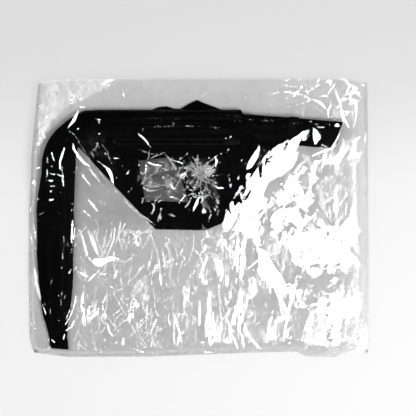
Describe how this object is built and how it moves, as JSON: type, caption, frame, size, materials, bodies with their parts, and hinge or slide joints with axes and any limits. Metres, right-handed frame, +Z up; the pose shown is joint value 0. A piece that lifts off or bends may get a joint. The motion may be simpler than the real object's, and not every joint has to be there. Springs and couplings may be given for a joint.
{
  "type": "film changing bag",
  "caption": "Black light-tight changing bag with elastic sleeves and double zip closure, folded flat in a clear film packing bag that is open at one end.",
  "frame": {"origin": "under the middle of the packing bag, on the surface it lies on", "axes": "+X to the right across the pack, +Y towards the pack's open mouth, +Z up out of the surface"},
  "size_m": [0.43, 0.35, 0.0249],
  "materials": {
    "clear_film": "clear glossy crinkled film",
    "black_shell": "black close-woven coated cloth",
    "black_lining": "black matt lining cloth",
    "black_tape": "black woven zip tape",
    "black_teeth": "black moulded plastic",
    "black_metal": "black lacquered metal",
    "black_elastic": "black ribbed elastic",
    "grey_label": "blank pale grey woven patch"
  },
  "bodies": {
    "clear_bag": {"film_back": "clear_film", "film_front": "clear_film", "seal_left": "clear_film", "seal_right": "clear_film", "seal_foot": "clear_film"},
    "changing_bag": {"back_panel": "black_shell", "front_panel": "black_shell", "lining_back": "black_lining", "lining_front": "black_lining", "label_patch": "grey_label", "outer_zip_tape_upper": "black_tape", "outer_zip_facing_upper": "black_shell", "outer_zip_teeth_upper": "black_teeth", "outer_zip_tape_lower": "black_tape", "outer_zip_facing_lower": "black_shell", "outer_zip_teeth_lower": "black_teeth", "outer_zip_stop_left": "black_teeth", "outer_zip_stop_right": "black_teeth", "inner_zip_tape_upper": "black_tape", "inner_zip_facing_upper": "black_shell", "inner_zip_teeth_upper": "black_teeth", "inner_zip_tape_lower": "black_tape", "inner_zip_facing_lower": "black_shell", "inner_zip_teeth_lower": "black_teeth", "inner_zip_stop_left": "black_teeth", "inner_zip_stop_right": "black_teeth"},
    "left_sleeve": {"left_sleeve": "black_shell", "left_upper_elastic": "black_elastic", "left_cuff": "black_shell", "left_cuff_elastic": "black_elastic"},
    "right_sleeve": {"right_sleeve": "black_shell", "right_upper_elastic": "black_elastic", "right_cuff": "black_shell", "right_cuff_elastic": "black_elastic"},
    "outer_slider": {"outer_zip_slider": "black_metal"},
    "outer_pull": {"outer_zip_pull": "black_metal"},
    "inner_slider": {"inner_zip_slider": "black_metal", "inner_zip_pull": "black_metal"}
  },
  "joints": [
    {"name": "bag_draw", "type": "slide", "parent": "clear_bag", "child": "changing_bag", "axis": [0, 1, 0], "range_m": [0, 0.36]},
    {"name": "left_sleeve_swing", "type": "hinge", "parent": "changing_bag", "child": "left_sleeve", "pos_m": [-0.1395, 0.11899, 0], "axis": [0, 0, 1], "range_deg": [0, 25]},
    {"name": "right_sleeve_swing", "type": "hinge", "parent": "changing_bag", "child": "right_sleeve", "pos_m": [0.0725, 0.11899, 0], "axis": [0, 0, 1], "range_deg": [0, 20]},
    {"name": "outer_zip_run", "type": "slide", "parent": "changing_bag", "child": "outer_slider", "axis": [-1, 0, 0], "range_m": [0, 0.138]},
    {"name": "outer_pull_swing", "type": "hinge", "parent": "outer_slider", "child": "outer_pull", "pos_m": [0.0425, 0.09624, 0.009], "axis": [0, 1, 0], "range_deg": [0, 175]},
    {"name": "inner_zip_run", "type": "slide", "parent": "changing_bag", "child": "inner_slider", "axis": [-1, 0, 0], "range_m": [0, 0.15]}
  ]
}
